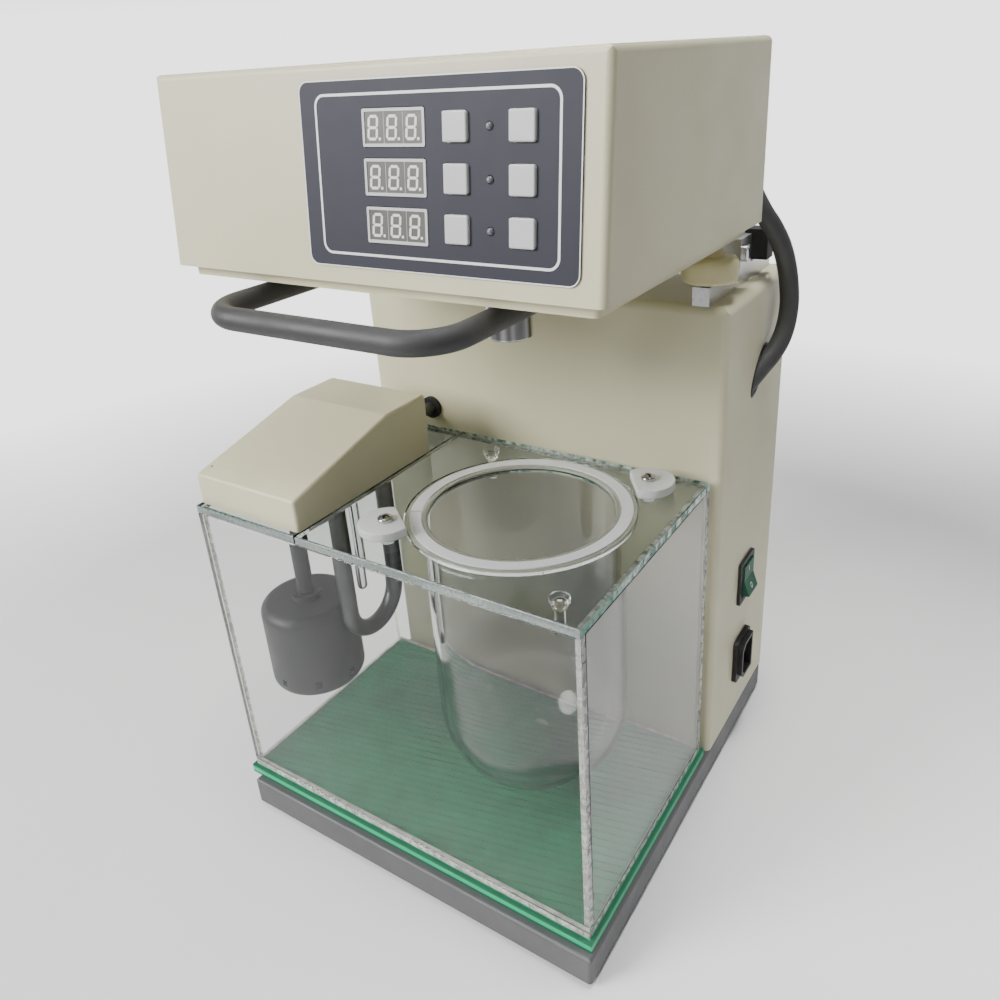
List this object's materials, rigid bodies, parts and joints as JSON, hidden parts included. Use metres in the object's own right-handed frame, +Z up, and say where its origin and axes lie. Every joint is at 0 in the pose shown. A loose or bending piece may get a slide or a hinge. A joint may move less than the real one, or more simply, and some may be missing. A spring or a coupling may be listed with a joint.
{
  "type": "dissolution tester",
  "caption": "Bench dissolution tester: clear water bath with a round-bottomed glass vessel, heater and stirrer pump, under a hinged drive head with a control panel and a shaft chuck.",
  "frame": {"origin": "on the table, at the bottom of the rubber feet, under the middle of the overall width and depth without the conduit", "axes": "+X to the right of a person facing the control panel, +Y to the back, +Z up"},
  "size_m": [0.2715, 0.2835, 0.4496],
  "materials": {
    "base_paint": "fine textured dark grey powder coat",
    "body_paint": "fine textured cream powder coat",
    "black_rubber": "matt black rubber",
    "cord_rubber": "satin black cord jacket",
    "mat_rubber": "ribbed green rubber",
    "clear_acrylic": "clear polished acrylic",
    "lid_acrylic": "clear acrylic plate with green tinted edges",
    "vessel_glass": "clear blown glass",
    "ring_plastic": "frosted white plastic",
    "cam_plastic": "frosted white acrylic",
    "bright_steel": "polished stainless steel",
    "plain_steel": "plain machined steel",
    "heater_sheath": "dark oxidised steel sheath",
    "black_plastic": "black moulded plastic",
    "white_plastic": "white moulded plastic",
    "key_plastic": "pale grey moulded plastic",
    "rail_aluminium": "milled bare aluminium",
    "wheel_nylon": "turned natural nylon",
    "rocker_plastic": "translucent green plastic",
    "pin_brass": "plated brass",
    "label_film": "dark blue printed film",
    "display_plastic": "grey display face",
    "led_lens": "clear lens",
    "board_laminate": "green circuit board",
    "iron_core": "varnished core and coil"
  },
  "bodies": {
    "base": {"base_tray": "base_paint", "rubber_feet": "black_rubber", "ribbed_mat": "mat_rubber", "tank_floor": "clear_acrylic", "tank_front": "clear_acrylic", "tank_back": "clear_acrylic", "tank_left": "clear_acrylic", "tank_right": "clear_acrylic", "heater_deck": "lid_acrylic", "heater_cover": "body_paint", "heater_tube": "heater_sheath", "temperature_probe": "bright_steel", "pump_body": "black_plastic", "pump_cap": "black_plastic", "pump_hanger": "black_plastic", "heater_cable": "cord_rubber", "cable_grommet": "black_rubber", "column_shell": "body_paint", "rear_panel": "body_paint", "switch_housing": "black_plastic", "inlet_socket": "black_plastic", "inlet_pins": "pin_brass", "transformer": "iron_core", "conduit_grommet": "black_rubber", "conduit": "cord_rubber", "hinge_rails": "rail_aluminium", "pivot_screws": "bright_steel", "tilt_buffers": "black_rubber"},
    "head": {"head_shell": "body_paint", "head_tray": "body_paint", "hinge_bar": "body_paint", "handle": "base_paint", "control_label": "label_film", "displays": "display_plastic", "status_leds": "led_lens", "control_board": "board_laminate", "gear_motor": "plain_steel", "bearing_housing": "rail_aluminium", "spindle_bearings": "plain_steel", "head_grommet": "black_rubber"},
    "spindle": {"spindle": "bright_steel", "chuck": "bright_steel", "shaft_coupling": "plain_steel"},
    "lid": {"bath_lid": "lid_acrylic", "lid_knobs": "clear_acrylic", "cam_screws": "bright_steel"},
    "vessel": {"vessel": "vessel_glass", "vessel_ring": "ring_plastic"},
    "cam_left": {"cam_left": "cam_plastic"},
    "cam_right": {"cam_right": "cam_plastic"},
    "pump_rotor": {"pump_rotor": "white_plastic"},
    "switch_rocker": {"switch_rocker": "rocker_plastic"},
    "rest_wheel_left": {"rest_wheel_left": "wheel_nylon"},
    "rest_wheel_right": {"rest_wheel_right": "wheel_nylon"},
    "temperature_key": {"temperature_key": "key_plastic"},
    "speed_key": {"speed_key": "key_plastic"},
    "time_key": {"time_key": "key_plastic"},
    "heat_key": {"heat_key": "key_plastic"},
    "run_key": {"run_key": "key_plastic"},
    "start_key": {"start_key": "key_plastic"}
  },
  "joints": [
    {"name": "head_tilt", "type": "hinge", "parent": "base", "child": "head", "pos_m": [0, 0.0925, 0.339], "axis": [-1, 0, 0], "range_deg": [0, 90], "deforming": ["conduit"]},
    {"name": "spindle_spin", "type": "hinge", "parent": "head", "child": "spindle", "pos_m": [0.0416, -0.0429, 0.36], "axis": [0, 0, 1], "continuous": true},
    {"name": "lid_lift", "type": "slide", "parent": "base", "child": "lid", "axis": [0, 0, 1], "range_m": [0, 0.035]},
    {"name": "vessel_lift", "type": "slide", "parent": "lid", "child": "vessel", "axis": [0, 0, 1], "range_m": [0, 0.045]},
    {"name": "cam_left_turn", "type": "hinge", "parent": "lid", "child": "cam_left", "pos_m": [-0.00995, -0.09445, 0.2275], "axis": [0, 0, 1], "range_deg": [0, 180]},
    {"name": "cam_right_turn", "type": "hinge", "parent": "lid", "child": "cam_right", "pos_m": [0.09315, 0.00865, 0.2275], "axis": [0, 0, 1], "range_deg": [0, 180]},
    {"name": "pump_spin", "type": "hinge", "parent": "base", "child": "pump_rotor", "pos_m": [-0.094, -0.083, 0.12], "axis": [0, 0, 1], "continuous": true},
    {"name": "switch_rock", "type": "hinge", "parent": "base", "child": "switch_rocker", "pos_m": [0.122, 0.0905, 0.128], "axis": [0, 1, 0], "range_deg": [0, 20]},
    {"name": "rest_wheel_left_turn", "type": "hinge", "parent": "base", "child": "rest_wheel_left", "pos_m": [-0.1093, 0.049, 0.34], "axis": [0, 0, 1], "continuous": true},
    {"name": "rest_wheel_right_turn", "type": "hinge", "parent": "base", "child": "rest_wheel_right", "pos_m": [0.1093, 0.049, 0.34], "axis": [0, 0, 1], "continuous": true},
    {"name": "temperature_key_press", "type": "slide", "parent": "head", "child": "temperature_key", "axis": [0, 0.9943, -0.1063], "range_m": [0, 0.0008], "stiffness_N_per_m": 1500, "springref_m": -0.0005},
    {"name": "speed_key_press", "type": "slide", "parent": "head", "child": "speed_key", "axis": [0, 0.9943, -0.1063], "range_m": [0, 0.0008], "stiffness_N_per_m": 1500, "springref_m": -0.0005},
    {"name": "time_key_press", "type": "slide", "parent": "head", "child": "time_key", "axis": [0, 0.9943, -0.1063], "range_m": [0, 0.0008], "stiffness_N_per_m": 1500, "springref_m": -0.0005},
    {"name": "heat_key_press", "type": "slide", "parent": "head", "child": "heat_key", "axis": [0, 0.9943, -0.1063], "range_m": [0, 0.0008], "stiffness_N_per_m": 1500, "springref_m": -0.0005},
    {"name": "run_key_press", "type": "slide", "parent": "head", "child": "run_key", "axis": [0, 0.9943, -0.1063], "range_m": [0, 0.0008], "stiffness_N_per_m": 1500, "springref_m": -0.0005},
    {"name": "start_key_press", "type": "slide", "parent": "head", "child": "start_key", "axis": [0, 0.9943, -0.1063], "range_m": [0, 0.0008], "stiffness_N_per_m": 1500, "springref_m": -0.0005}
  ]
}
